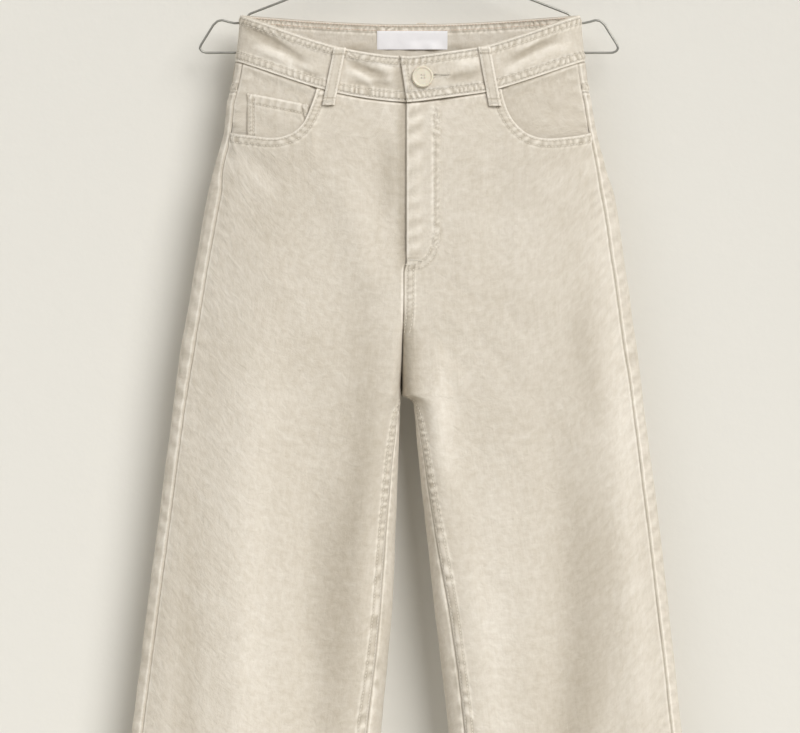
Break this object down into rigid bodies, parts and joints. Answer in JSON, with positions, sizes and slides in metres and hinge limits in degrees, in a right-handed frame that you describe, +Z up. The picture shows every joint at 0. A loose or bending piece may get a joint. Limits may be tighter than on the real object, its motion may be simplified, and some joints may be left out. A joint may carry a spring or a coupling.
{
  "type": "wide leg jeans on a wire hanger",
  "caption": "Wide leg five-pocket jeans in washed ecru denim with a button fly front, curved pocket mouths and belt loops, hanging flat from a wire hanger.",
  "frame": {"origin": "under the crown of the hanger's hook, where a rail carries it", "axes": "+Z up, the front of the jeans faces -Y, the wearer's left is at +X"},
  "size_m": [0.625, 0.0595, 1.2119],
  "materials": {
    "denim": "washed ecru cotton twill, matt",
    "button": "cream, satin",
    "label": "bare white woven tape",
    "wire": "grey steel wire, satin"
  },
  "bodies": {
    "root": {"front_left": "denim", "front_right": "denim", "back_left": "denim", "back_right": "denim", "yoke_left": "denim", "yoke_right": "denim", "waistband": "denim", "fly_facing": "denim", "pocket_facing_left": "denim", "pocket_facing_right": "denim", "coin_pocket": "denim", "back_pocket_left": "denim", "back_pocket_right": "denim", "belt_loop_front_left": "denim", "belt_loop_front_right": "denim", "belt_loop_side_left": "denim", "belt_loop_side_right": "denim", "belt_loop_back": "denim", "button": "button", "label": "label", "hanger_frame": "wire", "hanger_hook": "wire", "hanger_collar": "wire"}
  },
  "joints": []
}
